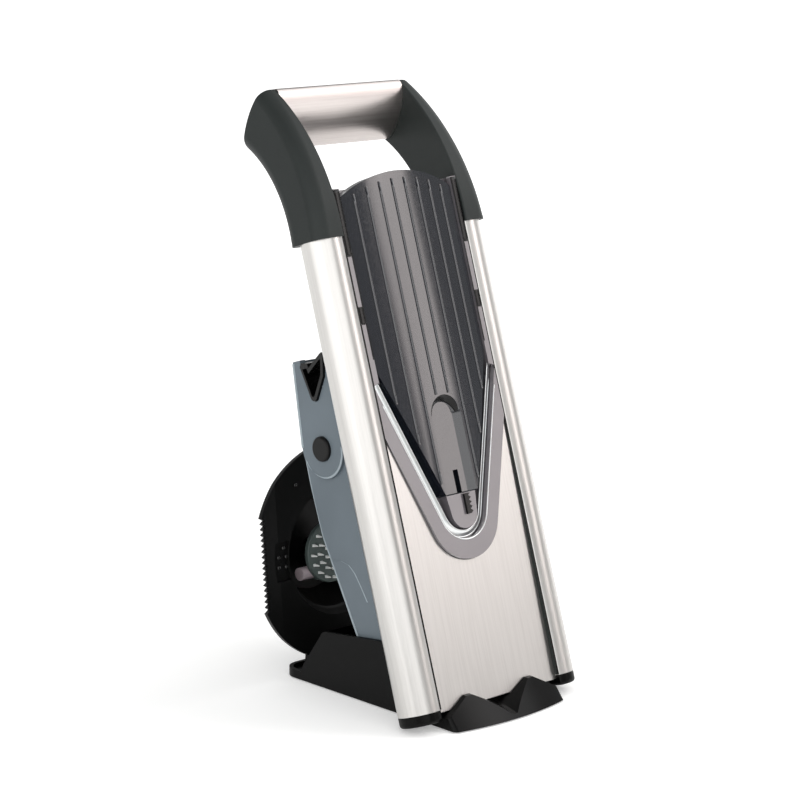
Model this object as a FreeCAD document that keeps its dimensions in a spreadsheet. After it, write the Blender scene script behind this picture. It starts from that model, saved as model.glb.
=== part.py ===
import FreeCAD, Part
import math
import os
import re

import Sketcher
from FreeCAD import Placement, Rotation, Vector

# A V-blade mandoline slicer parked in its stand, with its runway insert, its food holder and two
# julienne inserts. Lengths are millimetres and angles degrees. X runs to the right seen from the
# front, Y to the back and Z up. The origin is on the table, under the middle of the object.
# Pieces of the slicer and of the insert box are drawn upright in the slicer's own frame, where
# Y is the depth behind the front of the rails and Z runs up the rails, and are then leaned back.
# Pieces of the food holder are drawn on its own axis, where Y points back along the plunger.

SIZES = {
    # Where the slicer and the food holder stand
    "lean": 17.4,
    "front_offset": 90.7,
    "slicer_y": 5.6,
    "slicer_z": 11.1,
    "holder_y": 145.7,
    "holder_z": 69.35,
    "holder_lean": 4.7,
    # Rails, D-shaped tubes with their flat side inwards
    "rail_foot": 2.2,
    "rail_length": 269.3,
    "rail_radius": 12.5,
    "rail_centre": 52.5,
    "rail_inner": 47.0,
    "rail_wall": 1.2,
    "plug_gap": 0.1,
    "cap_drop": 4.1,
    "cap_round": 2.0,
    "cap_plug": 14.0,
    # Front panel, folded sheet
    "panel_recess": 4.2,
    "panel_tilt": 0.84,
    "panel_sheet": 1.2,
    "panel_gap": 0.3,
    "flange_depth": 9.0,
    "hem_depth": 2.4,
    "rivet_radius": 1.6,
    "rivet_depth": 6.0,
    # Moulded blade frame with its V opening and side guides
    "frame_angle": 20.5,
    "frame_nose": 26.0,
    "frame_nose_height": 105.2,
    "frame_front": 1.0,
    "frame_back": 9.0,
    "frame_top": 296.0,
    "bridge_height": 12.0,
    "bridge_back": 12.0,
    "guide_inner": 42.7,
    "guide_bottom": 4.2,
    "guide_width": 2.6,
    "guide_depth": 2.2,
    "opening_end": 116.4,
    "moat_floor": 6.5,
    "island_half": 9.9,
    "island_front": 0.4,
    "rack_height": 1.6,
    "rack_tooth": 2.6,
    # Blades
    "blade_angle": 20.3,
    "blade_bend": 15.4,
    "blade_bend_height": 109.0,
    "blade_half": 1.9,
    "blade_rise": 2.0,
    "blade_front": 2.6,
    "blade_sheet": 0.8,
    "blade_end": 44.6,
    # Runway insert
    "insert_half": 42.4,
    "insert_nose": 117.0,
    "insert_nose_half": 12.6,
    "insert_edge_height": 194.0,
    "insert_crown": -1.5,
    "insert_back": 7.5,
    "insert_bow": 228.0,
    "insert_top": 302.5,
    "insert_side_top": 291.0,
    "insert_hollow": 4.6,
    "rib_pitch": 9.5,
    "rib_width": 0.9,
    "rib_height": 0.6,
    "scoop_half": 11.5,
    "scoop_floor_half": 7.8,
    "scoop_depth": 4.1,
    "scoop_centre": 161.5,
    # Handle
    "shoulder_width": 18.8,
    "shoulder_end": 10.4,
    "shoulder_round": 8.0,
    "spigot_length": 20.0,
    "grip_depth": 42.2,
    "grip_height": 345.0,
    "grip_long": 18.8,
    "grip_short": 7.4,
    "grip_tilt": 37.0,
    "grip_wall": 1.5,
    "grip_plug": 9.0,
    # Stand base
    "base_half": 43.6,
    "cavity_half": 41.2,
    "base_floor": 4.0,
    "base_top": 41.0,
    "wall_front": 7.0,
    "wall_thick": 2.4,
    "slot_floor": 8.9,
    "foot_height": 0.8,
    "foot_radius": 6.0,
    "foot_socket": 1.2,
    "lip_height": 16.2,
    "lip_side": 7.0,
    "lip_reach": 6.3,
    "lip_curve": 175.0,
    "lip_slope": 0.82,
    "valley_front": 2.2,
    "valley_back": 7.0,
    "toe_end": 147.0,
    "toe_floor": 3.6,
    "toe_corner": 11.0,
    "toe_rim": 5.8,
    "rest_half": 26.0,
    "rest_top": 18.0,
    "rest_gap": 0.4,
    # Insert box and its buttons
    "box_half": 41.0,
    "box_wall": 2.0,
    "box_front": 9.6,
    "box_top": 209.0,
    "ear_out": 43.0,
    "ear_radius": 17.5,
    "button_depth": 60.0,
    "button_height": 156.8,
    "button_radius": 7.3,
    "button_gap": 0.1,
    "button_proud": 2.0,
    "collar_radius": 9.0,
    "collar_length": 2.0,
    # Julienne inserts
    "fine_depth": 29.0,
    "coarse_depth": 56.5,
    "lug_tip": 183.9,
    "lug_tip_radius": 2.8,
    "lug_out": 44.5,
    "lug_recess": 10.0,
    "lug_gap": 0.4,
    "card_half": 33.0,
    "card_thick": 3.0,
    "card_nose": 97.0,
    "knife_height": 5.0,
    "knife_sheet": 0.6,
    "knife_length": 9.0,
    # Food holder
    "brim_radius": 65.8,
    "brim_flat": 59.0,
    "brim_sheet": 2.6,
    "brim_crease": 46.7,
    "wing_angle": 6.0,
    "tooth_pitch": 3.3,
    "tooth_depth": 2.6,
    "recess_radius": 50.3,
    "recess_half": 11.7,
    "recess_inner": 38.0,
    "recess_depth": 1.0,
    "dish_radius": 39.0,
    "dish_depth": 5.0,
    "mouth_radius": 35.0,
    "roof_radius": 27.0,
    "hat_height": 29.0,
    "hat_wall": 2.5,
    "plunger_drop": 2.2,
    "shaft_radius": 6.0,
    "slide_gap": 0.08,
    "plate_radius": 18.8,
    "plate_front": 5.5,
    "plate_sheet": 3.0,
    "pin_half": 0.8,
    "pin_tip": 0.25,
    "pin_length": 4.5,
    "rod_radius": 3.9,
    "rod_half": 20.5,
    "rod_depth": 12.8,
    "rod_drop": 11.3,
    "knob_front": 29.6,
    "knob_radius": 15.0,
    "knob_height": 12.0,
}

RIVET_HEIGHTS = (18, 70, 122)
RACK_TEETH = 5
BRIM_TEETH = 17
PIN_RINGS = ((0.0, 1), (5.2, 6), (10.4, 12), (15.6, 16))

doc = FreeCAD.newDocument("mandoline_slicer")
sheet = doc.addObject("Spreadsheet::Sheet", "sizes")
for row, (alias, number) in enumerate(SIZES.items(), start=1):
    sheet.set(f"A{row}", alias)
    sheet.set(f"B{row}", str(number))
    sheet.setAlias(f"B{row}", alias)
doc.recompute()

subparts = []

# Formulas that several pieces share
BORE = "(rail_radius - rail_wall)"
BORE_INNER = "(rail_inner + rail_wall)"
NOSE_X = "(frame_nose * cos(frame_angle))"
NOSE_Z = "(frame_nose_height - frame_nose * sin(frame_angle))"
BEND_X = "(blade_bend * cos(blade_angle))"
BEND_Z = "(blade_bend_height - blade_bend * sin(blade_angle))"
BLADE_TIP = "(blade_bend_height - blade_bend)"
INSERT_SLOPE = "((insert_half - insert_nose_half) / (insert_edge_height - insert_nose))"


def formula(text):
    """Write the sheet's name before each alias, as an expression outside the sheet needs."""
    return re.sub(r"[A-Za-z_]\w*", lambda m: f"sizes.{m[0]}" if m[0] in SIZES else m[0], str(text))


def value(text):
    """The number that a formula gives now."""
    number = sheet.evalExpression(str(text))
    return float(getattr(number, "Value", number))


def bind(item, prop, text):
    item.setExpression(prop, formula(text))


def place(item, frame):
    """Lean an object with the slicer, the panel or the holder, or leave it upright."""
    y, z, turn = {
        "slicer": ("slicer_y", "slicer_z", "lean"),
        "panel": ("slicer_y + panel_recess * cos(lean)", "slicer_z - panel_recess * sin(lean)",
                  "lean - panel_tilt"),
        "holder": ("holder_y", "holder_z", "holder_lean"),
        "plunger": ("holder_y - plunger_drop * sin(holder_lean)",
                    "holder_z - plunger_drop * cos(holder_lean)", "holder_lean"),
        "table": ("0", "0", "0"),
    }[frame]
    item.Placement = Placement(Vector(), Rotation(Vector(1, 0, 0), -5))
    bind(item, "Placement.Rotation.Angle", f"-({turn}) * 1 deg")
    bind(item, "Placement.Base.y", f"({y} - front_offset) * 1 mm")
    bind(item, "Placement.Base.z", f"({z}) * 1 mm")


def new_body(label, frame):
    """An empty body, placed in its frame and put on the list of sub-parts."""
    body = doc.addObject("PartDesign::Body", label)
    body.Label = label
    place(body, frame)
    subparts.append(body)
    return body


def new_sketch(body, plane, name, offset="0"):
    """A sketch on one of the body's own planes: XY is seen from above, XZ from the front and
    YZ from the right. The offset is along +Z, +Y or +X."""
    sketch = body.newObject("Sketcher::SketchObject", name)
    support = next(item for item in body.Origin.OriginFeatures if item.Role == f"{plane}_Plane")
    sketch.AttachmentSupport = [(support, "")]
    sketch.MapMode = "FlatFace"
    sign = "-" if plane == "XZ" else ""
    bind(sketch, "AttachmentOffset.Base.z", f"{sign}({offset}) * 1 mm")
    return sketch


def arc_between(start, end, radius, turn):
    """The short arc from start to end, and the numbers of its first and last vertex."""
    chord = end - start
    middle = (start + end) * 0.5
    height = math.sqrt(max(radius ** 2 - chord.Length ** 2 / 4, 0))
    left = Vector(-chord.y, chord.x, 0).normalize()
    centre = middle + left * (height if turn == "left" else -height)
    first, last = (start, end) if turn == "left" else (end, start)
    angles = [math.atan2(p.y - centre.y, p.x - centre.x) for p in (first, last)]
    curve = Part.ArcOfCircle(Part.Circle(centre, Vector(0, 0, 1), radius), *angles)
    return (curve, 1, 2) if turn == "left" else (curve, 2, 1)


def mirrored(steps):
    """The same outline seen in a mirror, left to right."""
    swap = {"left": "right", "right": "left"}
    return [(f"-({s[0]})", s[1], *((s[2], swap[s[3]]) if len(s) > 2 else ())) for s in steps]


def pin_vertex(sketch, index, vertex, x, y):
    """Hold a vertex at a place given by two formulas."""
    for kind, text in (("DistanceX", x), ("DistanceY", y)):
        rule = Sketcher.Constraint(kind, -1, 1, index, vertex, value(text))
        bind(sketch, f"Constraints[{sketch.addConstraint(rule)}]", text)


def set_radius(sketch, index, radius):
    rule = Sketcher.Constraint("Radius", index, value(radius))
    bind(sketch, f"Constraints[{sketch.addConstraint(rule)}]", radius)


def draw(sketch, steps, side=1, closed=True):
    """Draw an outline whose corners are formulas. A step is (x, y) for a straight line to that
    corner or (x, y, radius, turn) for an arc to it. Side -1 mirrors it left to right."""
    steps = mirrored(steps) if side < 0 else steps
    corners = [Vector(value(s[0]), value(s[1]), 0) for s in steps]
    count = len(steps) if closed else len(steps) - 1
    ends = []
    for i in range(count):
        following = (i + 1) % len(steps)
        step = steps[following]
        if len(step) > 2:
            curve, first, last = arc_between(corners[i], corners[following], value(step[2]), step[3])
        else:
            curve, first, last = Part.LineSegment(corners[i], corners[following]), 1, 2
        index = sketch.addGeometry(curve, False)
        ends.append((index, first, last))
        if len(step) > 2:
            set_radius(sketch, index, step[2])
    for i in range(count if closed else count - 1):
        one, two = ends[i], ends[(i + 1) % count]
        sketch.addConstraint(Sketcher.Constraint("Coincident", one[0], one[2], two[0], two[1]))
    pinned = [(index, first) for index, first, last in ends]
    if not closed:
        pinned.append((ends[-1][0], ends[-1][2]))
    for (index, vertex), step in zip(pinned, steps):
        pin_vertex(sketch, index, vertex, step[0], step[1])


def draw_circle(sketch, x, y, radius):
    centre = Vector(value(x), value(y), 0)
    index = sketch.addGeometry(Part.Circle(centre, Vector(0, 0, 1), value(radius)), False)
    set_radius(sketch, index, radius)
    pin_vertex(sketch, index, 3, x, y)


def draw_ellipse(sketch, x, y, long, short, tilt):
    """A full ellipse whose long axis is turned by tilt from the sketch's upright."""
    centre = Vector(value(x), value(y), 0)
    angle = math.radians(value(tilt))
    along = Vector(-math.sin(angle), math.cos(angle), 0)
    across = Vector(math.cos(angle), math.sin(angle), 0)
    curve = Part.Ellipse(centre + along * value(long), centre + across * value(short), centre)
    index = sketch.addGeometry(curve, False)
    pin_vertex(sketch, index, 3, x, y)


def rectangle(x0, y0, x1, y1):
    return [(x0, y0), (x1, y0), (x1, y1), (x0, y1)]


def pad(body, sketch, length, back=False, both=False):
    """Thicken a sketch along its normal, which points up, to the front or to the right."""
    feature = body.newObject("PartDesign::Pad", f"{sketch.Name}_pad")
    feature.Profile = sketch
    feature.Reversed = back
    feature.SideType = "Symmetric" if both else "One side"
    bind(feature, "Length", length)
    doc.recompute()


def pocket(body, sketch, length, back=False, both=False):
    """Cut a sketch out against its normal, or along it with back, and check that it cuts."""
    before = body.Shape.Volume
    feature = body.newObject("PartDesign::Pocket", f"{sketch.Name}_cut")
    feature.Profile = sketch
    feature.Reversed = back
    feature.SideType = "Symmetric" if both else "One side"
    bind(feature, "Length", length)
    doc.recompute()
    if body.Shape.isNull() or body.Shape.Volume > before - 0.01:
        raise RuntimeError(f"{feature.Name} cuts nothing")


def pipe(body, section, path, kind):
    """Sweep a section along a path, adding or taking away."""
    feature = body.newObject(f"PartDesign::{kind}Pipe", f"{section.Name}_sweep")
    feature.Profile = (section, [""])
    feature.Spine = (path, [f"Edge{i}" for i in range(1, path.GeometryCount + 1)])
    doc.recompute()


def loft_cut(body, first, last):
    """Take away the solid that blends one sketch into another."""
    before = body.Shape.Volume
    feature = body.newObject("PartDesign::SubtractiveLoft", f"{first.Name}_loft")
    feature.Profile = (first, [""])
    feature.Sections = [(last, [""])]
    feature.Ruled = True
    doc.recompute()
    if body.Shape.isNull() or body.Shape.Volume > before - 0.01:
        raise RuntimeError(f"{feature.Name} cuts nothing")


def revolve(body, sketch):
    """Turn a sketch once round the body's own Y axis."""
    feature = body.newObject("PartDesign::Revolution", f"{sketch.Name}_turn")
    feature.Profile = sketch
    axis = next(item for item in body.Origin.OriginFeatures if item.Role == "Y_Axis")
    feature.ReferenceAxis = (axis, [""])
    feature.Angle = 360
    doc.recompute()


def fillet(body, radius, chosen):
    """Round the edges of the body's last feature that the test picks by their box."""
    tip = body.Tip
    edges = tip.Shape.Edges
    names = [f"Edge{i}" for i, edge in enumerate(edges, start=1) if chosen(edge.BoundBox)]
    if not names:
        raise RuntimeError(f"no edge to round on {body.Label}")
    feature = body.newObject("PartDesign::Fillet", f"{body.Label}_round{len(body.Group)}")
    feature.Base = (tip, names)
    bind(feature, "Radius", radius)
    doc.recompute()


def near(number, text, room=0.05):
    return abs(number - value(text)) < room


def group(label, solids, frame):
    """Separate equal solids that share one node."""
    compound = doc.addObject("Part::Compound", label)
    compound.Label = label
    compound.Links = solids
    place(compound, frame)
    subparts.append(compound)


# Rails, caps and panel


def d_outline(gap="0", inside=False):
    """The rail's section, from its flat side round the outside and back."""
    radius = f"({BORE} - {gap})" if inside else "rail_radius"
    flat = f"({BORE_INNER} + {gap})" if inside else "rail_inner"
    half = f"sqrt({radius}^2 - (rail_centre - {flat})^2)"
    return [(flat, f"rail_radius - {half}"),
            (f"rail_centre + {radius}", "rail_radius", radius, "left"),
            (flat, f"rail_radius + {half}", radius, "left")]


def rivet_place(height):
    """Depth and height of a rivet in the slicer's frame, from its height on the tilted panel."""
    depth = f"panel_recess + rivet_depth * cos(panel_tilt) - {height} * sin(panel_tilt)"
    return depth, f"rivet_depth * sin(panel_tilt) + {height} * cos(panel_tilt)"


def build_rail(label, side):
    """A steel D tube with holes in its flat side for the panel's rivets."""
    body = new_body(label, "slicer")
    section = new_sketch(body, "XY", f"{label}_section", "rail_foot")
    draw(section, d_outline(), side)
    draw(section, d_outline(inside=True), side)
    pad(body, section, "rail_length - rail_foot")
    fillet(body, "rail_wall", lambda b: b.ZLength > 100 and near(abs(b.Center.x), "rail_inner"))
    holes = new_sketch(body, "YZ", f"{label}_holes", f"{side} * (rail_inner + 2 * rail_wall)")
    for height in RIVET_HEIGHTS:
        draw_circle(holes, *rivet_place(height), "rivet_radius")
    pocket(body, holes, "4 * rail_wall", back=side < 0)


def build_rail_cap(label, side):
    """A moulded plug in the rail's lower end, with a rounded foot."""
    body = new_body(label, "slicer")
    section = new_sketch(body, "XY", f"{label}_section", "-cap_drop")
    draw(section, d_outline(), side)
    pad(body, section, "cap_drop + rail_foot")
    fillet(body, "cap_round", lambda b: near(b.ZMax, "-cap_drop"))
    plug = new_sketch(body, "XY", f"{label}_plug", "rail_foot")
    draw(plug, d_outline("plug_gap", inside=True), side)
    pad(body, plug, "cap_plug")


def build_front_panel():
    """A steel sheet with a V cut-out, folded back along its sides and its lower edge."""
    body = new_body("front_panel", "panel")
    radius = "(frame_nose + panel_gap)"
    nose_x = f"({radius} * cos(frame_angle))"
    nose_z = f"(frame_nose_height - {radius} * sin(frame_angle))"
    top = f"({nose_z} + (rail_inner - {nose_x}) / tan(frame_angle))"
    face = new_sketch(body, "XZ", "panel_face", "panel_sheet")
    draw(face, [("-rail_inner", "0"), ("rail_inner", "0"), ("rail_inner", top), (nose_x, nose_z),
                ("0", f"frame_nose_height - {radius}", radius, "right"),
                (f"-{nose_x}", nose_z, radius, "right"), ("-rail_inner", top)])
    pad(body, face, "panel_sheet")
    flanges = new_sketch(body, "XZ", "panel_flanges", "flange_depth")
    for side in (-1, 1):
        draw(flanges, rectangle("rail_inner - panel_sheet", "0", "rail_inner", f"{top} - 4"), side)
    pad(body, flanges, "flange_depth - panel_sheet / 2")
    hem = new_sketch(body, "XZ", "panel_hem", "hem_depth")
    draw(hem, rectangle("-rail_inner", "0", "rail_inner", "panel_sheet"))
    pad(body, hem, "hem_depth - panel_sheet / 2")
    fillet(body, "0.6", lambda b: near(b.YMax, "0") and near(b.ZMax, "0") and b.XLength > 50)
    holes = new_sketch(body, "YZ", "panel_holes")
    for height in RIVET_HEIGHTS:
        draw_circle(holes, "rivet_depth", str(height), "rivet_radius")
    pocket(body, holes, "3 * rail_inner", both=True)


def build_rivets():
    """Blind rivets through the panel's flanges into the rails."""
    pieces = (("shank", "rivet_radius", "rail_inner - panel_sheet", "3.2 * rail_wall"),
              ("head", "2 * rivet_radius", "rail_inner - 2 * panel_sheet", "panel_sheet"))
    solids = []
    for side in (-1, 1):
        for height in RIVET_HEIGHTS:
            depth, level = rivet_place(height)
            rivet = doc.addObject("Part::MultiFuse", "rivet")
            turned = []
            for name, radius, start, length in pieces:
                piece = doc.addObject("Part::Cylinder", f"rivet_{name}")
                bind(piece, "Radius", radius)
                bind(piece, "Height", length)
                piece.Placement = Placement(Vector(), Rotation(Vector(0, 1, 0), 90 * side))
                bind(piece, "Placement.Base.x", f"{side} * ({start}) * 1 mm")
                bind(piece, "Placement.Base.y", f"({depth}) * 1 mm")
                bind(piece, "Placement.Base.z", f"({level}) * 1 mm")
                turned.append(piece)
            rivet.Shapes = turned
            solids.append(rivet)
    group("panel_rivets", solids, "slicer")


# Blade frame and blades


def blade_path(body, name, side):
    """Half of the V: a bend at the nose, then a straight run up to the guide."""
    path = new_sketch(body, "XZ", name)
    end = f"{BEND_Z} + (blade_end - {BEND_X}) / tan(blade_angle)"
    draw(path, [("0", BLADE_TIP), (BEND_X, BEND_Z, "blade_bend", "left"), ("blade_end", end)],
         side, closed=False)
    return path


def band_front(across):
    """Depth and height of the blade's front face, at a distance out from the blade's middle."""
    depth = f"(blade_front + blade_rise * ({across} + blade_half) / (2 * blade_half))"
    return depth, f"({BLADE_TIP} - ({across}))"


def band_back(across):
    """The same on the blade's back face."""
    depth, height = band_front(across)
    band = "sqrt((2 * blade_half)^2 + blade_rise^2)"
    return (f"({depth} + blade_sheet * 2 * blade_half / {band})",
            f"({height} + blade_sheet * blade_rise / {band})")


def build_blade(label, side):
    """A steel strip bent round the nose of the V and ground to an edge on its inner side."""
    body = new_body(label, "slicer")
    path = blade_path(body, f"{label}_path", side)
    section = new_sketch(body, "YZ", f"{label}_section")
    edge_depth, edge_height = band_front("-blade_half")
    draw(section, [(f"{edge_depth} + blade_sheet / 3", edge_height), band_front("-blade_half / 3"),
                   band_front("blade_half"), band_back("blade_half"), band_back("-blade_half / 4")])
    pipe(body, section, path, "Additive")


def build_v_blade_frame():
    """The moulded frame: a V that carries the blades and two side guides for the inserts."""
    body = new_body("v_blade_frame", "slicer")
    side_z = f"({NOSE_Z} + (rail_inner - {NOSE_X}) / tan(frame_angle))"
    open_x = f"({BEND_X} + (opening_end - {BEND_Z}) * tan(blade_angle))"
    open_z = f"({BEND_Z} + (guide_inner - {BEND_X}) / tan(blade_angle))"
    right = [(NOSE_X, NOSE_Z, "frame_nose", "left"), ("rail_inner", side_z),
             ("rail_inner", "frame_top"), ("guide_inner", "frame_top"), ("guide_inner", open_z),
             (open_x, "opening_end")]
    left = [(f"-{x[0]}", x[1]) for x in reversed(right)]
    face = new_sketch(body, "XZ", "frame_face", "frame_back")
    nose = ("0", "frame_nose_height - frame_nose", "frame_nose", "left")
    draw(face, [nose] + right + left)
    pad(body, face, "frame_back - frame_front")
    bridge = new_sketch(body, "XZ", "frame_bridge", "bridge_back")
    draw(bridge, rectangle("-rail_inner", "frame_top - bridge_height", "rail_inner", "frame_top"))
    pad(body, bridge, "bridge_back - frame_back + 1")
    moat = new_sketch(body, "XZ", "nose_moat", "-1")
    moat_x = f"({BEND_X} + (opening_end + 1 - {BEND_Z}) * tan(blade_angle))"
    draw(moat, [(f"-{BEND_X}", BEND_Z), ("0", BLADE_TIP, "blade_bend", "left"),
                (BEND_X, BEND_Z, "blade_bend", "left"), (moat_x, "opening_end + 1"),
                (f"-{moat_x}", "opening_end + 1")])
    pocket(body, moat, "moat_floor + 1")
    island = new_sketch(body, "XZ", "nose_island", "moat_floor + 0.5")
    low = f"({BLADE_TIP} + blade_half + 1 + island_half)"
    draw(island, [("-island_half", low), ("0", f"{low} - island_half", "island_half", "left"),
                  ("island_half", low, "island_half", "left"), ("island_half + 1.4", "opening_end"),
                  ("-(island_half + 1.4)", "opening_end")])
    pad(body, island, "moat_floor + 0.5 - island_front")
    for side, word in ((-1, "left"), (1, "right")):
        path = blade_path(body, f"{word}_groove_path", side)
        groove = new_sketch(body, "YZ", f"{word}_groove")
        draw(groove, [("-2", band_back("-blade_half * 0.7")[1]), ("-2", f"{BLADE_TIP} - blade_half - 0.6"),
                      (band_back("blade_half")[0], f"{BLADE_TIP} - blade_half - 0.6"),
                      band_back("blade_half"), band_back("-blade_half * 0.7")])
        pipe(body, groove, path, "Subtractive")
    guides = new_sketch(body, "XY", "frame_guides", "frame_top + 1")
    for side in (-1, 1):
        draw(guides, rectangle("guide_inner - 1", "guide_bottom", "guide_inner + guide_depth",
                               "guide_bottom + guide_width"), side)
    pocket(body, guides, "frame_top - 189")
    windows = new_sketch(body, "XZ", "frame_windows")
    for side in (-1, 1):
        for low, high in ((219, 229), (258, 264)):
            draw(windows, rectangle("guide_inner + 0.8", str(low), "rail_inner - 0.8", str(high)), side)
    pocket(body, windows, "frame_front + 1.4")
    slits = new_sketch(body, "XZ", "frame_slits")
    for side in (-1, 1):
        draw(slits, rectangle("rail_inner - 1.6", "270", "rail_inner - 0.5", "283"), side)
    pocket(body, slits, "bridge_back + 1")


def build_depth_rack():
    """A little toothed rack on the nose of the V, which sets the cutting depth."""
    body = new_body("depth_rack", "slicer")
    face = new_sketch(body, "XZ", "rack_face", "island_front")
    start = "(opening_end - 0.5 - {} * rack_tooth)"
    teeth = []
    for i in range(RACK_TEETH):
        teeth.append(("5.6", start.format(i)))
        teeth.append(("3.8", f"{start.format(i)} - rack_tooth / 2"))
    draw(face, [("1.2", start.format(0))] + teeth + [("1.2", start.format(RACK_TEETH - 0.5))])
    pad(body, face, "rack_height")


# Runway insert


def bow_depth(x):
    """Depth of the insert's bowed front at a distance from the middle."""
    return f"(insert_crown + insert_bow - sqrt(insert_bow^2 - ({x})^2))"


def build_runway_insert():
    """A bowed plate with a V end, long ribs, a thumb scoop and tongues that slide in the guides."""
    body = new_body("runway_insert", "slicer")
    half, nose = "insert_half", "insert_nose_half"
    arch = "((insert_half^2 + (insert_top - insert_side_top)^2) / (2 * (insert_top - insert_side_top)))"
    face = new_sketch(body, "XZ", "insert_face", "insert_back")
    draw(face, [(f"-{nose}", "insert_nose"), (nose, "insert_nose"), (half, "insert_edge_height"),
                (half, "insert_side_top"), ("0", "insert_top", arch, "left"),
                (f"-{half}", "insert_side_top", arch, "left"), (f"-{half}", "insert_edge_height")])
    pad(body, face, "insert_back - insert_crown + 1")
    wide = "(insert_half + 4)"
    front = "insert_crown - 4"
    bow = new_sketch(body, "XY", "insert_bow_cut")
    draw(bow, [(f"-{wide}", front), (wide, front), (wide, bow_depth(wide)),
               (f"-{wide}", bow_depth(wide), "insert_bow", "right")])
    pocket(body, bow, "2 * insert_top", back=True)
    for i in range(4):
        x = f"({i + 0.5} * rib_pitch)"
        low = "(scoop_centre + scoop_half + 0.5)" if i == 0 else f"(insert_nose + ({x} - {nose}) / {INSERT_SLOPE} + 2)"
        high = f"(insert_top - 4 - {x}^2 / (2 * {arch}))"
        ribs = new_sketch(body, "XY", f"insert_ribs_{i + 1}", low)
        for side in (-1, 1):
            draw(ribs, rectangle(f"{x} - rib_width / 2", f"{bow_depth(x)} - rib_height",
                                 f"{x} + rib_width / 2", f"{bow_depth(x)} + 1"), side)
        pad(body, ribs, f"{high} - {low}")
    flare = "((scoop_half - scoop_floor_half) / scoop_depth)"
    rim = new_sketch(body, "XZ", "scoop_rim", "insert_crown - 0.8")
    floor = new_sketch(body, "XZ", "scoop_floor", "insert_crown + scoop_depth")
    for sketch, width in ((rim, f"(scoop_half + 0.8 * {flare})"), (floor, "scoop_floor_half")):
        draw(sketch, [(f"-{width}", "insert_nose - 1"), (width, "insert_nose - 1"), (width, "scoop_centre"),
                      ("0", f"scoop_centre + {width}", width, "left"),
                      (f"-{width}", "scoop_centre", width, "left")])
    loft_cut(body, rim, floor)
    slot = new_sketch(body, "XZ", "insert_slot")
    draw(slot, rectangle("-0.5", "insert_nose - 1", "3.3", "insert_nose + 13"))
    pocket(body, slot, "3 * insert_back", both=True)
    edge = f"insert_nose + ({{}} + 3.2 - {nose}) / {INSERT_SLOPE}"
    hollows = new_sketch(body, "XZ", "insert_hollows", "insert_back")
    inner, outer = "14.5", "insert_half - 3"
    for side in (-1, 1):
        draw(hollows, [(inner, edge.format(inner)), (outer, edge.format(f"({outer})")),
                       (outer, "insert_side_top - 4"), (inner, "insert_top - 6")], side)
    draw(hollows, rectangle("-11.5", "180", "11.5", "insert_top - 5"))
    pocket(body, hollows, "insert_back - insert_hollow", back=True)
    tongues = new_sketch(body, "XY", "insert_tongues", "insert_edge_height + 2")
    for side in (-1, 1):
        draw(tongues, rectangle("insert_half - 1", "guide_bottom + 0.3", "guide_inner + guide_depth - 0.4",
                                "guide_bottom + guide_width - 0.3"), side)
    pad(body, tongues, "insert_side_top - insert_edge_height - 4")


# Handle


def build_shoulder(label, side):
    """A moulded corner that plugs into a rail, sweeps back and carries one end of the grip."""
    body = new_body(label, "slicer")
    low = "rail_length"
    profile = new_sketch(body, "YZ", f"{label}_profile", f"{side} * rail_inner")
    front_sweep = "(33.3^2 + 86^2) / (2 * 33.3)"
    rear_sweep = f"(27.4^2 + (331.5 - {low})^2) / (2 * 27.4)"
    draw(profile, [("-0.8", low), ("-0.8", "275"), ("32.5", "361", front_sweep, "right"),
                   ("56", "331.5", "47", "right"), ("28.6", low, rear_sweep, "left")])
    pad(body, profile, "shoulder_width", back=side < 0)
    flank = new_sketch(body, "XZ", f"{label}_flank")
    outer = "(rail_inner + shoulder_width - 0.4)"
    draw(flank, [(outer, low), (f"{outer} + 5", low), (f"{outer} + 5", "365"),
                 ("rail_inner + shoulder_end", "365")], side)
    pocket(body, flank, "300", both=True)
    fillet(body, "shoulder_round", lambda b: min(abs(b.XMin), abs(b.XMax)) > value("rail_inner") + 5
           and b.ZMax > value(low) + 0.5 and b.ZMin < 320)
    fillet(body, "2", lambda b: b.ZMin > 320 and b.XLength > 0.5)
    fillet(body, "1", lambda b: b.XLength < 0.01 and near(abs(b.XMax), "rail_inner")
           and b.ZMax > value(low) + 0.5 and b.ZMin < 320)
    spigot = new_sketch(body, "XY", f"{label}_spigot", low)
    draw(spigot, d_outline("plug_gap", inside=True), side)
    pad(body, spigot, "spigot_length", back=True)
    boss = new_sketch(body, "YZ", f"{label}_boss", f"{side} * rail_inner")
    draw_ellipse(boss, "grip_depth", "grip_height", "grip_long - grip_wall - 2.4",
                 "grip_short - grip_wall - plug_gap", "grip_tilt")
    pad(body, boss, "grip_plug", back=side > 0)


def build_handle_bar():
    """A flattened steel tube between the shoulders."""
    body = new_body("handle_bar", "slicer")
    section = new_sketch(body, "YZ", "grip_section")
    draw_ellipse(section, "grip_depth", "grip_height", "grip_long", "grip_short", "grip_tilt")
    draw_ellipse(section, "grip_depth", "grip_height", "grip_long - grip_wall", "grip_short - grip_wall",
                 "grip_tilt")
    pad(body, section, "2 * rail_inner", both=True)


# Stand


def leaned(depth, height):
    """A point of the slicer's frame as upright Y and Z."""
    return (f"(slicer_y + ({depth}) * cos(lean) + ({height}) * sin(lean))",
            f"(slicer_z - ({depth}) * sin(lean) + ({height}) * cos(lean))")


def wall_at(depth, level):
    """Where a face at some depth of the slicer's frame crosses a level."""
    return leaned(depth, f"(({level} - slicer_z + ({depth}) * sin(lean)) / cos(lean))")


def lip_front(x):
    """How far forward the bowed foot of the lip reaches at a distance from the middle."""
    return f"(lip_curve - lip_reach - sqrt(lip_curve^2 - ({x})^2))"


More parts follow.
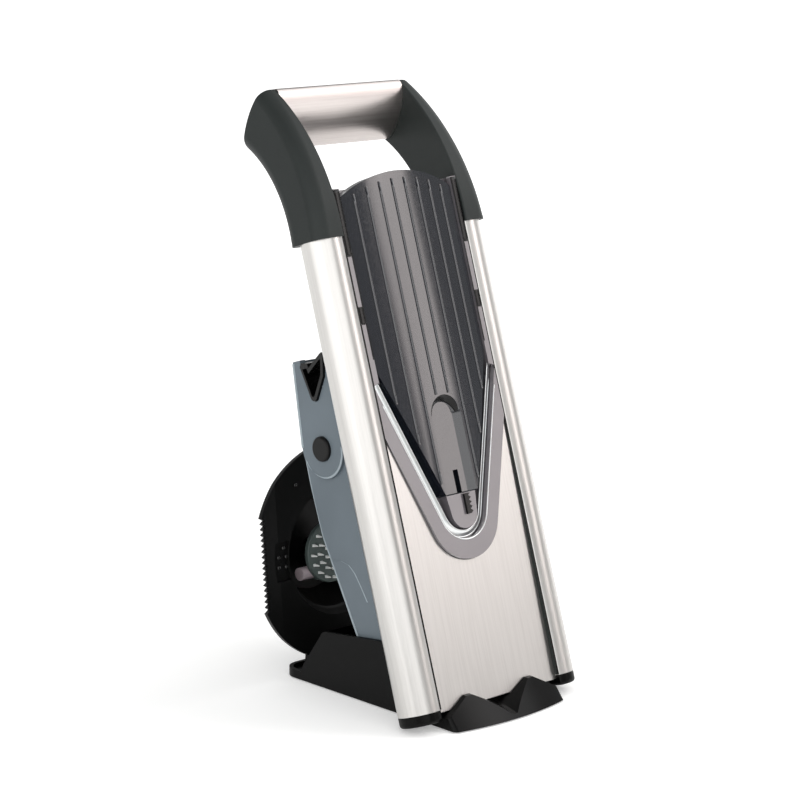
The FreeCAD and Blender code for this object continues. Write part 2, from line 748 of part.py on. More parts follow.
def build_stand_base():
    """The moulded base: a two-peaked front lip, a slot for the panel, a tray and a rear trough."""
    body = new_body("stand_base", "table")
    low = "foot_height"
    slot_back = wall_at("wall_front", "slot_floor")
    profile = new_sketch(body, "YZ", "base_profile")
    draw(profile, [("-lip_reach - 1", low), ("-lip_reach - 1", "lip_height"), ("10.8", "lip_height"),
                   (f"{slot_back[0]} - 3.5", "slot_floor"), slot_back, wall_at("wall_front", "base_top - 1.5"),
                   ("24.4", "base_top"), ("65", "base_top - 1.7"), ("106", "base_top - 6"),
                   ("112", "base_top - 9.5", "6", "right"), ("127.4", "10.7"),
                   ("130.5", "toe_floor"), ("toe_end", "toe_floor"), ("toe_end", low)])
    pad(body, profile, "2 * base_half", both=True)
    fillet(body, "toe_corner", lambda b: b.XLength < 0.01 and b.YLength < 0.01 and near(b.YMax, "toe_end")
           and near(abs(b.XMax), "base_half"))
    tray = new_sketch(body, "YZ", "base_tray")
    inner = "wall_front + wall_thick"
    draw(tray, [wall_at(inner, "base_floor"), wall_at(inner, "base_top + 3"), ("107.6", "base_top + 3"),
                ("107.6", "base_top - 9.5"), ("122.6", "11"), ("123.6", "base_floor")])
    pocket(body, tray, "2 * cavity_half", both=True)
    face = []
    for name, level in (("foot", "foot_height - 0.5"), ("brow", "lip_height + 1")):
        sketch = new_sketch(body, "XY", f"lip_{name}", level)
        wide = "(base_half + 3)"
        y = f"({lip_front(wide)} + lip_slope * ({level} - foot_height))"
        draw(sketch, [(f"-{wide}", "-30"), (wide, "-30"), (wide, y), (f"-{wide}", y, "lip_curve", "right")])
        face.append(sketch)
    loft_cut(body, *face)
    back = f"({slot_back[0]} - 0.6)"
    sides = new_sketch(body, "XZ", "lip_sides", "-lip_reach - 2")
    for side in (-1, 1):
        draw(sides, [("25.5", "lip_height + 0.5"), ("base_half + 1", "lip_side - 0.5"),
                     ("base_half + 1", "lip_height + 1"), ("25.5", "lip_height + 1")], side)
    pocket(body, sides, f"{back} + lip_reach + 2")
    valley = []
    for name, y, depth in (("front", "-lip_reach - 1.5", "valley_front"), ("back", back, "valley_back")):
        sketch = new_sketch(body, "XZ", f"valley_{name}", y)
        draw(sketch, [("-24", "lip_height + 1"), ("-1.5", depth), ("1.5", depth), ("24", "lip_height + 1")])
        valley.append(sketch)
    loft_cut(body, *valley)
    rim = new_sketch(body, "XY", "toe_rim_plan", "foot_height + 0.4")
    half, corner, inset = "base_half", "toe_corner", "wall_thick"
    right = [(half, "128"), (half, f"toe_end - {corner}"), (f"{half} - {corner}", "toe_end", corner, "left")]
    inside = [(f"{half} - {corner}", f"toe_end - {inset}"),
              (f"{half} - {inset}", f"toe_end - {corner}", f"({corner} - {inset})", "right"),
              (f"{half} - {inset}", "128")]
    outer = right + [(f"-({half} - {corner})", "toe_end"), (f"-{half}", f"toe_end - {corner}", corner, "left"),
                     (f"-{half}", "128")]
    inner = [(f"-({half} - {inset})", "128"),
             (f"-({half} - {inset})", f"toe_end - {corner}"),
             (f"-({half} - {corner})", f"toe_end - {inset}", f"({corner} - {inset})", "right")]
    draw(rim, outer + inner + inside)
    pad(body, rim, "toe_rim - foot_height - 0.4")
    tilt = "tan(holder_lean)"
    back_of_brim = f"holder_y - (holder_z - ({{}})) * {tilt} + (brim_sheet / 2 + rest_gap) / cos(holder_lean)"
    front_of_brim = f"holder_y - (holder_z - ({{}})) * {tilt} - (brim_sheet / 2 + rest_gap) / cos(holder_lean)"
    rest = new_sketch(body, "YZ", "back_rest")
    draw(rest, [(back_of_brim.format("toe_floor - 0.4"), "toe_floor - 0.4"),
                (back_of_brim.format("rest_top"), "rest_top"), ("toe_end - 2", "rest_top"),
                ("toe_end - 0.6", "toe_floor - 0.4")])
    pad(body, rest, "2 * rest_half", both=True)
    stops = new_sketch(body, "YZ", "front_stops", "rest_half - 6")
    draw(stops, [("126", "3"), ("127", "12"), (front_of_brim.format("12"), "12"),
                 (front_of_brim.format("toe_floor - 0.4"), "toe_floor - 0.4"), ("127", "toe_floor - 0.4")])
    pad(body, stops, "5")
    mirror_x(body)
    sockets = new_sketch(body, "XY", "foot_sockets", "foot_height")
    for x, y in FEET:
        draw_circle(sockets, x, y, "foot_radius + plug_gap")
    pocket(body, sockets, "foot_socket", back=True)
    fillet(body, "3", lambda b: b.XLength < 0.01 and near(abs(b.XMax), "base_half")
           and near(b.YMin, lip_front("base_half")) and b.YLength > 1 and b.ZLength > 3)


FEET = (("-32", "16"), ("32", "16"), ("-32", "116"), ("32", "116"))


def mirror_x(body):
    """Repeat the body's last feature on the other side of the middle plane."""
    feature = body.newObject("PartDesign::Mirrored", f"{body.Tip.Name}_mirrored")
    feature.Originals = [body.Tip]
    plane = next(item for item in body.Origin.OriginFeatures if item.Role == "YZ_Plane")
    feature.MirrorPlane = (plane, [""])
    body.Tip = feature
    doc.recompute()


def build_feet():
    """Rubber discs pressed into the sockets under the base."""
    feet = []
    for x, y in FEET:
        foot = doc.addObject("Part::Cylinder", "foot")
        bind(foot, "Radius", "foot_radius")
        bind(foot, "Height", "foot_height + foot_socket")
        bind(foot, "Placement.Base.x", f"{x} * 1 mm")
        bind(foot, "Placement.Base.y", f"{y} * 1 mm")
        feet.append(foot)
    group("rubber_feet", feet, "table")


def box_rear(inset="0"):
    """The box's rear side from its foot up to its rim, drawn some distance inside."""
    foot = f"(57.8 - {inset})"
    return [(foot, f"(base_floor + {inset} - slicer_z + {foot} * sin(lean)) / cos(lean)"),
            (f"(79.2 - {inset})", "108"), (f"(80.3 - {inset})", "136", "360", "left"),
            (f"(80.0 - {inset})", "162", "500", "left"), (f"(73.7 - {inset})", "box_top")]


def beside(depth, steps):
    """An outline whose first coordinates are counted from a stored insert's depth."""
    return [(f"{depth} + ({step[0]})", *step[1:]) for step in steps]


def lug_outline(depth):
    """The side of a lug: a blunt tip below, a short rear arm and a longer arm to the front."""
    tip = "lug_tip_radius"
    return beside(depth, [("-2.55", "lug_tip + 2"), ("2.75", "lug_tip + 3", tip, "left"),
                          ("6.9", "lug_tip + 21.3"), ("5.2", "lug_tip + 23.3"), ("-0.1", "lug_tip + 22.3"),
                          ("-0.3", "lug_tip + 19.5"), ("-11.3", "lug_tip + 25.4"), ("-13.6", "lug_tip + 26.5"),
                          ("-14.8", "lug_tip + 24.5"), ("-11.6", "lug_tip + 13.1")])


def lug_recess(depth):
    """The hollow in the end of a lug."""
    return beside(depth, [("-1.1", "lug_tip + 3.5"), ("1.5", "lug_tip + 3.8", "1.5", "left"),
                          ("5", "lug_tip + 19.7"), ("1.2", "lug_tip + 19.7"), ("0.6", "lug_tip + 16.5"),
                          ("-10.9", "lug_tip + 22.7"), ("-12.4", "lug_tip + 23"), ("-9.7", "lug_tip + 14.1")])


def lug_notch(depth):
    """The notch that a lug sits in, open at the box's rim."""
    gap = "lug_gap"
    return beside(depth, [(f"-2.5 - {gap}", f"lug_tip + 2.1 - {gap}"),
                          (f"2.75 + {gap}", f"lug_tip + 3.3 - {gap}", f"lug_tip_radius + {gap}", "left"),
                          (f"7 + {gap}", "lug_tip + 21.3"), (f"7 + {gap}", "box_top + 1"),
                          (f"-15.2 - {gap}", "box_top + 1"), (f"-14.9 - {gap}", "lug_tip + 24.6"),
                          (f"-11.6 - {gap}", f"lug_tip + 13.3 - {gap}")])


def build_insert_box():
    """The translucent box: a tall tray with an ear on each side, notches and button holes."""
    body = new_body("insert_box", "slicer")
    front_low = "(base_floor - slicer_z + box_front * sin(lean)) / cos(lean)"
    profile = new_sketch(body, "YZ", "box_profile")
    draw(profile, [("box_front", front_low)] + box_rear() + [("box_front", "box_top")])
    pad(body, profile, "2 * box_half", both=True)
    fillet(body, "2.5", lambda b: near(abs(b.XMax), "box_half") and b.XLength < 0.01 and b.ZLength > 20
           and b.YMin > 50)
    inner = "(box_front + box_wall)"
    inner_low = f"(base_floor + box_wall - slicer_z + {inner} * sin(lean)) / cos(lean)"
    hollow = new_sketch(body, "YZ", "box_hollow")
    rear = box_rear("box_wall")
    draw(hollow, [(inner, inner_low)] + rear + [(rear[-1][0], "box_top + 1"), (inner, "box_top + 1")])
    pocket(body, hollow, "2 * (box_half - box_wall)", both=True)
    centre = ("button_depth", "button_height")
    for side, word in ((-1, "left"), (1, "right")):
        ear = new_sketch(body, "YZ", f"{word}_ear", f"{side} * (box_half - 0.5)")
        draw(ear, [("button_depth - ear_radius", "box_top"), ("button_depth - ear_radius", "button_height"),
                   ("button_depth", "button_height - ear_radius", "ear_radius", "left"),
                   ("button_depth + ear_radius * cos(7)", "button_height + ear_radius * sin(7)",
                    "ear_radius", "left"), ("70.4", "box_top")])
        pad(body, ear, "ear_out - box_half + 0.5", back=side < 0)
    holes = new_sketch(body, "YZ", "button_holes")
    draw_circle(holes, *centre, "button_radius + button_gap")
    pocket(body, holes, "3 * box_half", both=True)
    notches = new_sketch(body, "YZ", "lug_notches")
    for depth in ("fine_depth", "coarse_depth"):
        draw(notches, lug_notch(depth))
    pocket(body, notches, "3 * box_half", both=True)


def build_button(label, side):
    """A round push button with a collar that keeps it in the box's wall."""
    body = new_body(label, "slicer")
    collar_x = "(box_half - box_wall - 0.2)"
    collar = new_sketch(body, "YZ", f"{label}_collar", f"{side} * {collar_x}")
    draw_circle(collar, "button_depth", "button_height", "collar_radius")
    pad(body, collar, "collar_length", back=side > 0)
    stem = new_sketch(body, "YZ", f"{label}_stem", f"{side} * ({collar_x} - 0.5)")
    draw_circle(stem, "button_depth", "button_height", "button_radius")
    pad(body, stem, f"ear_out + button_proud - {collar_x} + 0.5", back=side < 0)
    face = "(ear_out + button_proud)"
    fillet(body, "1.2", lambda b: near(abs(b.XMax), face) and b.XLength < 0.01)


def build_julienne_insert(label, depth, count, pitch):
    """A stored insert: a lug across the box, hollow at its ends, and a card with a V lower end."""
    body = new_body(f"{label}_insert", "slicer")
    lug = new_sketch(body, "YZ", f"{label}_lug")
    draw(lug, lug_outline(depth))
    pad(body, lug, "2 * lug_out", both=True)
    recess = new_sketch(body, "YZ", f"{label}_recess", "lug_out - lug_recess")
    draw(recess, lug_recess(depth))
    pocket(body, recess, "lug_recess + 1", back=True)
    mirror_x(body)
    card = new_sketch(body, "XZ", f"{label}_card", f"{depth} + card_thick / 2")
    draw(card, [("-9", "card_nose"), ("9", "card_nose"), ("card_half", "card_nose + 45"),
                ("card_half", "lug_tip + 4"), ("-card_half", "lug_tip + 4"), ("-card_half", "card_nose + 45")])
    pad(body, card, "card_thick")
    knives = []
    for i in range(count):
        knife = doc.addObject("Part::Box", f"{label}_knife")
        bind(knife, "Length", "knife_sheet")
        bind(knife, "Width", "knife_height")
        bind(knife, "Height", "knife_length")
        bind(knife, "Placement.Base.x", f"({i - (count - 1) / 2} * {pitch} - knife_sheet / 2) * 1 mm")
        bind(knife, "Placement.Base.y", f"({depth} - card_thick / 2 - knife_height) * 1 mm")
        bind(knife, "Placement.Base.z", "(card_nose + 52) * 1 mm")
        knives.append(knife)
    group(f"{label}_blades", knives, "slicer")


# Food holder


def build_holder_hat():
    """The food holder: a brim with bent, serrated wings, a dish and a hat that guides the plunger."""
    body = new_body("holder_hat", "holder")
    half = "(brim_sheet / 2)"
    out = "(brim_radius + 2)"
    drop = f"(({out} - brim_crease) * tan(wing_angle))"
    knee = f"({half} * tan(wing_angle / 2))"
    stretch = f"({half} / cos(wing_angle))"
    section = new_sketch(body, "XY", "brim_section", "-brim_radius - 2")
    right = [(f"brim_crease - {knee}", f"-{half}"), (out, f"-{drop} - {stretch}"), (out, f"-{drop} + {stretch}"),
             (f"brim_crease + {knee}", half)]
    left = [(f"-({x})", y) for x, y in reversed(right)]
    draw(section, right + left)
    pad(body, section, "2 * brim_radius + 4")
    trim = new_sketch(body, "XZ", "brim_trim", "-20")
    far = "(brim_radius + 6)"
    draw(trim, rectangle(f"-{far}", f"-{far}", far, far))
    draw_circle(trim, "0", "0", "brim_radius")
    pocket(body, trim, "40")
    teeth = new_sketch(body, "XZ", "brim_teeth", "-20")
    for side in (-1, 1):
        zigzag = [("brim_radius + 2", f"{BRIM_TEETH / 2} * tooth_pitch"),
                  ("brim_flat", f"{BRIM_TEETH / 2} * tooth_pitch")]
        for i in range(BRIM_TEETH):
            zigzag.append(("brim_flat - tooth_depth", f"({BRIM_TEETH / 2} - {i} - 0.5) * tooth_pitch"))
            zigzag.append(("brim_flat", f"({BRIM_TEETH / 2} - {i} - 1) * tooth_pitch"))
        zigzag.append(("brim_radius + 2", f"-{BRIM_TEETH / 2} * tooth_pitch"))
        draw(teeth, zigzag, side)
    pocket(body, teeth, "40")
    recesses = new_sketch(body, "XZ", "grip_recesses", "-6")
    corner = "sqrt(recess_radius^2 - recess_half^2)"
    for side in (-1, 1):
        draw(recesses, [("recess_inner", "-recess_half"), (corner, "-recess_half"),
                        (corner, "recess_half", "recess_radius", "left"), ("recess_inner", "recess_half")], side)
    pocket(body, recesses, f"6 - {half} + recess_depth")
    mouth = new_sketch(body, "XZ", "brim_mouth", "-20")
    draw_circle(mouth, "0", "0", "dish_radius + 0.5")
    pocket(body, mouth, "40")
    deep = f"(dish_depth - {half})"
    roof = "(hat_height - hat_wall)"
    hat = new_sketch(body, "XY", "hat_section")
    draw(hat, [("dish_radius", f"-{half}"), ("mouth_radius + 1.2", f"{deep}"), ("mouth_radius", f"{deep} + 1.5"),
               ("roof_radius", f"{roof}"), ("0", roof), ("0", "hat_height"),
               ("roof_radius - 0.6", "hat_height"), ("roof_radius + hat_wall", f"{roof} - 1", "3.4", "right"),
               ("mouth_radius + hat_wall", f"{deep} + 4"), ("dish_radius + 1.1", half),
               ("dish_radius + 1.1", f"-{half}")])
    revolve(body, hat)
    bore = new_sketch(body, "XZ", "shaft_bore", "hat_height + 1")
    draw_circle(bore, "0", "-plunger_drop", "shaft_radius + slide_gap")
    pocket(body, bore, "hat_wall + 3", back=True)


def build_plunger():
    """The plunger: a knob, a shaft, a plate with pins that hold the food and a rod behind it."""
    end = "(knob_front + knob_height)"
    back = "(plate_front + plate_sheet)"
    knob = new_body("plunger_knob", "plunger")
    turned = new_sketch(knob, "XY", "knob_section")
    draw(turned, [("shaft_radius", "knob_front"), ("knob_radius - 2", "knob_front"),
                  ("knob_radius", "knob_front + 2", "2", "left"), ("knob_radius - 1", f"{end} - 5"),
                  ("knob_radius - 6", end, "5.2", "left"), ("0", end),
                  ("0", "knob_front + 8"), ("shaft_radius", "knob_front + 8")])
    revolve(knob, turned)
    shaft = new_body("plunger_shaft", "plunger")
    round_bar = new_sketch(shaft, "XZ", "shaft_section", "knob_front + 8")
    draw_circle(round_bar, "0", "0", "shaft_radius")
    pad(shaft, round_bar, f"knob_front + 8 - {back}")
    plate = new_body("pin_plate", "plunger")
    disc = new_sketch(plate, "XZ", "plate_disc", back)
    draw_circle(disc, "0", "0", "plate_radius")
    pad(plate, disc, "plate_sheet")
    fillet(plate, "0.8", lambda b: near(b.YMin, "plate_front"))
    bracket = new_sketch(plate, "YZ", "rod_bracket", "6.5")
    draw(bracket, rectangle(f"{back} - 0.5", "-rod_drop - 4.9", "rod_depth + rod_radius + 1", "-rod_drop + 4.9"))
    draw_circle(bracket, "rod_depth", "-rod_drop", "rod_radius")
    pad(plate, bracket, "2.8")
    mirror_x(plate)
    rod = new_body("guide_rod", "plunger")
    bar = new_sketch(rod, "YZ", "rod_section")
    draw_circle(bar, "rod_depth", "-rod_drop", "rod_radius")
    pad(rod, bar, "2 * rod_half", both=True)
    pins = []
    for radius, count in PIN_RINGS:
        for i in range(count):
            angle = f"({360 / count} * {i})"
            pin = doc.addObject("Part::Wedge", "food_pin")
            for prop, text in (("Ymin", "-pin_length"), ("Ymax", "0"), ("Xmin", "-pin_tip"), ("Xmax", "pin_tip"),
                               ("Zmin", "-pin_tip"), ("Zmax", "pin_tip"), ("X2min", "-pin_half"),
                               ("X2max", "pin_half"), ("Z2min", "-pin_half"), ("Z2max", "pin_half")):
                bind(pin, prop, f"({text}) * 1 mm")
            bind(pin, "Placement.Base.x", f"{radius} * sin({angle}) * 1 mm")
            bind(pin, "Placement.Base.y", "plate_front * 1 mm")
            bind(pin, "Placement.Base.z", f"{radius} * cos({angle}) * 1 mm")
            pins.append(pin)
    group("holder_pins", pins, "plunger")


for word, hand in (("left", -1), ("right", 1)):
    build_rail(f"{word}_rail", hand)
    build_rail_cap(f"{word}_rail_cap", hand)
    build_blade(f"{word}_v_blade", hand)
    build_shoulder(f"{word}_shoulder", hand)
    build_button(f"{word}_box_button", hand)
build_front_panel()
build_rivets()
build_v_blade_frame()
build_depth_rack()
build_runway_insert()
build_handle_bar()
build_stand_base()
build_feet()
build_insert_box()
build_julienne_insert("fine_julienne", "fine_depth", 15, "3.5")
build_julienne_insert("coarse_julienne", "coarse_depth", 8, "7")
build_holder_hat()
build_plunger()
doc.recompute()

for item in doc.Objects:
    if "Invalid" in item.State or "Error" in item.State:
        raise RuntimeError(f"{item.Label} did not recompute: {item.State}")
os.makedirs("parts", exist_ok=True)
for item in subparts:
    if item.Shape.isNull() or not item.Shape.isValid():
        raise RuntimeError(f"{item.Label} has no valid shape")
    item.Shape.exportStep(f"parts/{item.Label}.step")
    box = item.Shape.BoundBox
    print(f"{item.Label}: {len(item.Shape.Solids)} solid, {item.Shape.Volume:.0f} mm3, "
          f"y {box.YMin:.1f} to {box.YMax:.1f}, z {box.ZMin:.1f} to {box.ZMax:.1f}")
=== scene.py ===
# %% [markdown]
# A V-blade mandoline slicer leaning in its stand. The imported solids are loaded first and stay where
# they are: this script gives them finishes, adds the small forms that are too fine for solids, and
# sets up the table, the light and the camera. Everything is in metres, with Z up.

import math

import bmesh
import bpy
import numpy as np
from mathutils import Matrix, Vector


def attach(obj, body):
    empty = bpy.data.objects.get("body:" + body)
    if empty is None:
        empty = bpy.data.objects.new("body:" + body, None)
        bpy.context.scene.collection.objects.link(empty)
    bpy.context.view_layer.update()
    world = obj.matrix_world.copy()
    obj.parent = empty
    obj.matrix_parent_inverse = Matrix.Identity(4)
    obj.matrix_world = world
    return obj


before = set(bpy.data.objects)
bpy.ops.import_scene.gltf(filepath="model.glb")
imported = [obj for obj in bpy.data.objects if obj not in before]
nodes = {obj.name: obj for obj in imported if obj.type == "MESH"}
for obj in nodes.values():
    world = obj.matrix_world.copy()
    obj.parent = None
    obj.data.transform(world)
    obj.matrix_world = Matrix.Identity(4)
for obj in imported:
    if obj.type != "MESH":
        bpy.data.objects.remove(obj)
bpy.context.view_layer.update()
print("solids loaded:", len(nodes))

# %% [markdown]
# Most pieces lie in one of two leaning frames. The slicer leans back in the stand, and so do its insert
# box and everything on them. The food holder leans less. A place could be given in the room's own
# coordinates, but along the rails, in millimetres, it is easier to think of, so helpers turn such
# places into the room's.

# %% Leaning frames
MM = 0.001
FRONT_OFFSET = 90.7
SLICER_LEAN = 17.4
SLICER_FOOT = (0.0, 5.6 - FRONT_OFFSET, 11.1)
HOLDER_LEAN = 4.7
HOLDER_CENTRE = (0.0, 145.7 - FRONT_OFFSET, 69.35)
GRIP_TOP = (0, 33, 361)


def leaned(points, lean, foot):
    """Points in millimetres (across, depth, height) of a leaning frame, as metres in the room: turned
    back about the X axis by the lean and moved to the frame's foot."""
    across, depth, height = np.moveaxis(np.asarray(points, float), -1, 0)
    angle = math.radians(lean)
    y = depth * math.cos(angle) + height * math.sin(angle)
    z = height * math.cos(angle) - depth * math.sin(angle)
    return (np.stack([across, y, z], axis=-1) + np.array(foot)) * MM


def on_slicer(points):
    """Places behind the rails' fronts and up along the rails."""
    return leaned(points, SLICER_LEAN, SLICER_FOOT)


def on_holder(points):
    """Places behind the holder's brim and up from its middle."""
    return leaned(points, HOLDER_LEAN, HOLDER_CENTRE)


print("top of the grip is at", on_slicer(GRIP_TOP).round(3))

# %% [markdown]
# Colours are given as the hex values a paint program shows. Blender works in linear light. Typing linear
# numbers would hide what a colour looks like, so one function converts the hex values.

# %% Colour


def linear(hex_colour):
    """sRGB hex to linear RGBA: each channel is undone with the sRGB curve."""
    channels = np.array([int(hex_colour[i:i + 2], 16) for i in (1, 3, 5)]) / 255
    curved = np.where(channels <= 0.04045, channels / 12.92, ((channels + 0.055) / 1.055) ** 2.4)
    return (*map(float, curved), 1.0)


print("middle grey in linear light is", round(linear("#808080")[0], 3))

# %% [markdown]
# Shader trees could be drawn by hand in the node editor. In a script they are built with one helper that
# adds a node, sets its values and links its inputs, so that each finish below reads as a list of what it
# is made of. Two more start a material and give it coordinates, and one puts it on a solid.

# %% Nodes and finishes


def add(tree, kind, inputs=(), stops=(), **settings):
    """Add a shader node, set its properties, give each named input a value or a link, and give a colour
    ramp its stops, each a place from 0 to 1 and a linear colour."""
    node = tree.nodes.new(kind)
    for name, setting in settings.items():
        setattr(node, name, setting)
    for name, given in dict(inputs).items():
        if isinstance(given, bpy.types.NodeSocket):
            tree.links.new(given, node.inputs[name])
        else:
            node.inputs[name].default_value = given
    for number, (place, colour) in enumerate(stops):
        node.color_ramp.elements[number].position = place
        node.color_ramp.elements[number].color = colour
    return node


def new_finish(name, **constants):
    """A material with a Principled shader whose constant sockets are set directly."""
    material = bpy.data.materials.new(name)
    material.use_nodes = True
    shader = material.node_tree.nodes["Principled BSDF"]
    for socket, number in constants.items():
        shader.inputs[socket.replace("_", " ")].default_value = number
    return material, material.node_tree, shader


def stretched(tree, scale, lean=0.0):
    """Object coordinates turned upright from a lean and scaled, in cycles per metre along each axis."""
    where = add(tree, "ShaderNodeTexCoord")
    upright = add(tree, "ShaderNodeMapping", {"Vector": where.outputs["Object"],
                                              "Rotation": (math.radians(lean), 0, 0)})
    scaled = add(tree, "ShaderNodeMapping", {"Vector": upright.outputs["Vector"], "Scale": scale})
    return scaled.outputs["Vector"]


def wear(*names, finish):
    """Give CAD nodes a finish."""
    for name in names:
        nodes[name].data.materials.clear()
        nodes[name].data.materials.append(finish)
    print(finish.name, "on", ", ".join(names))


print("finishes so far:", len(bpy.data.materials))

# %% [markdown]
# Brushed stainless steel. The tubes and the folded sheet were ground along their length, which leaves
# scratches a few hundredths of a millimetre wide and a few centimetres long. They could be drawn at that
# size, but the picture is too coarse to show them, so the streaks here are about a millimetre wide. They
# change the colour and roughness a little and tilt the surface from side to side.

# %% Brushed stainless steel
# A noise's values lie mostly between these two.
NOISE_LOW, NOISE_HIGH = 0.3, 0.7
STREAK_WIDTH = 0.9 * MM
STREAK_LENGTH = 60 * MM
SCRATCH_DEPTH = 0.2 * MM
SCRATCH_STRENGTH = 0.02
STEEL_ROUGHNESS = 0.33
SMOOTHER, ROUGHER = 0.03, 0.04
TINT_FROM = 0.6


def brushed_steel(name, along, tint, shade):
    """Noise stretched along the grain drives the roughness, a faint colour change and a bump."""
    finish, tree, shader = new_finish(name, Metallic=1.0)
    fine, long = 1 / STREAK_WIDTH, 1 / STREAK_LENGTH
    scale = (fine, fine, long) if along == "Z" else (long, fine, fine)
    grain = add(tree, "ShaderNodeTexNoise", {"Vector": stretched(tree, scale, SLICER_LEAN),
                                             "Scale": 1.0, "Detail": 4.0, "Roughness": 0.6})
    streaks = grain.outputs["Fac"]
    spread = add(tree, "ShaderNodeMapRange", {"Value": streaks, "From Min": NOISE_LOW, "From Max": NOISE_HIGH,
                                              "To Min": STEEL_ROUGHNESS - SMOOTHER,
                                              "To Max": STEEL_ROUGHNESS + ROUGHER})
    bump = add(tree, "ShaderNodeBump", {"Height": streaks, "Strength": SCRATCH_STRENGTH,
                                        "Distance": SCRATCH_DEPTH})
    colour = add(tree, "ShaderNodeValToRGB", {"Fac": streaks},
                 stops=[(NOISE_LOW, linear(shade)), (TINT_FROM, linear(tint))])
    tree.links.new(colour.outputs["Color"], shader.inputs["Base Color"])
    tree.links.new(spread.outputs["Result"], shader.inputs["Roughness"])
    tree.links.new(bump.outputs["Normal"], shader.inputs["Normal"])
    return finish


# Ground along the rails: a soft silver sheen that is drawn out into long streaks.
steel_along = brushed_steel("brushed_stainless_steel", "Z", tint="#d0cecb", shade="#c8c6c3")
wear("left_rail", "right_rail", "front_panel", "panel_rivets", finish=steel_along)
# Ground along the grip, across the slicer: the same sheen with its streaks lying, a little warmer.
steel_across = brushed_steel("cross_brushed_stainless_steel", "X", tint="#d2cbc8", shade="#c6bebb")
wear("handle_bar", finish=steel_across)

# %% [markdown]
# Blade steel. The blades are ground flat and polished, so they mirror the room: a bright strip with a
# dark line where the bevel starts. A plain mirror would look like glass, so faint hone marks along the
# blade soften it. Real ones are far too fine to show, so these are drawn a few millimetres wide.

# %% Polished blade steel
HONE_WIDTH = 10 / 3 * MM
HONE_LENGTH = 25 * MM
HONE_DEPTH = 0.1 * MM
HONE_STRENGTH = 0.05
# Polished steel: bright and nearly white beside the brushed steel, with softened reflections.
blade_steel, tree, shader = new_finish("polished_blade_steel", Metallic=1.0, Roughness=0.28,
                                       Base_Color=linear("#e4e6e6"))
hone_scale = (1 / HONE_WIDTH, 1 / HONE_WIDTH, 1 / HONE_LENGTH)
hone = add(tree, "ShaderNodeTexNoise", {"Vector": stretched(tree, hone_scale, SLICER_LEAN),
                                        "Scale": 1.0, "Detail": 3.0})
bump = add(tree, "ShaderNodeBump", {"Height": hone.outputs["Fac"], "Strength": HONE_STRENGTH,
                                    "Distance": HONE_DEPTH})
tree.links.new(bump.outputs["Normal"], shader.inputs["Normal"])
wear("left_v_blade", "right_v_blade", "fine_julienne_blades", "coarse_julienne_blades",
     finish=blade_steel)

# %% [markdown]
# The moulded plastics. Each starts from a moulding whose tool was etched or polished: the grip corners
# are finely etched and matt, the blade frame and the runway are polished, the base and the holder are
# satin. Plain colours would do from afar, but a grain of about half a millimetre, drawn coarser than
# the real one, breaks up the highlights as a moulding does.

# %% How a moulding is finished
BROAD_PATCH = 25 * MM
GRAIN_DEPTH = 0.15 * MM
ROUGHNESS_SPREAD = 0.04


def moulded(name, colour, roughness, grain, relief, specks=0.06, **extra):
    """A dielectric whose grain, in millimetres, varies the roughness and, as strongly as the relief
    says, the surface, while a broad noise makes the colour lighter and darker by the specks' share."""
    finish, tree, shader = new_finish(name, **extra)
    grain_scale = (1 / (grain * MM),) * 3
    patch_scale = (1 / BROAD_PATCH,) * 3
    etch = add(tree, "ShaderNodeTexNoise", {"Vector": stretched(tree, grain_scale),
                                            "Scale": 1.0, "Detail": 3.0})
    broad = add(tree, "ShaderNodeTexNoise", {"Vector": stretched(tree, patch_scale),
                                             "Scale": 1.0, "Detail": 2.0})
    base = np.array(linear(colour)[:3])
    darker = (*(base * (1 - specks)), 1)
    lighter = (*(base * (1 + specks)), 1)
    tone = add(tree, "ShaderNodeValToRGB", {"Fac": broad.outputs["Fac"]},
               stops=[(NOISE_LOW, darker), (NOISE_HIGH, lighter)])
    spread = add(tree, "ShaderNodeMapRange", {"Value": etch.outputs["Fac"],
                                              "From Min": NOISE_LOW, "From Max": NOISE_HIGH,
                                              "To Min": roughness - ROUGHNESS_SPREAD,
                                              "To Max": roughness + ROUGHNESS_SPREAD})
    bump = add(tree, "ShaderNodeBump", {"Height": etch.outputs["Fac"], "Strength": relief,
                                        "Distance": GRAIN_DEPTH})
    tree.links.new(tone.outputs["Color"], shader.inputs["Base Color"])
    tree.links.new(spread.outputs["Result"], shader.inputs["Roughness"])
    tree.links.new(bump.outputs["Normal"], shader.inputs["Normal"])
    return finish


print("a moulding's colour changes over patches of", round(BROAD_PATCH / MM), "mm")

# %% [markdown]
# The slicer's own plastics: the grip's corners, the blade frame and the runway. All three are dark, so
# what tells them apart is how they mirror the lamps. That is set with the roughness and a clear coat,
# which is how a polished tool's skin on a moulding looks.

# %% The slicer's plastics
# Etched ABS: black turned dark grey by a broad matt sheen, with no sharp highlight.
grip_plastic = moulded("etched_black_abs", "#1c2120", roughness=0.5, grain=0.5, relief=0.45,
                       Specular_IOR_Level=0.3)
wear("left_shoulder", "right_shoulder", finish=grip_plastic)
# Smoky SAN: a mid grey that seems to have depth, under clear reflections.
frame_plastic = moulded("smoky_polished_san", "#5f5b5f", roughness=0.16, grain=1.5, relief=0.02,
                        Coat_Weight=0.8, Coat_Roughness=0.1)
wear("v_blade_frame", finish=frame_plastic)
# Polished ABS: nearly black, and its bow draws the lamp out into one long grey band.
runway_plastic = moulded("dark_polished_abs", "#14171e", roughness=0.16, grain=1.5, relief=0.0,
                         Specular_IOR_Level=0.6, Coat_Weight=1.0, Coat_Roughness=0.1)
wear("runway_insert", finish=runway_plastic)
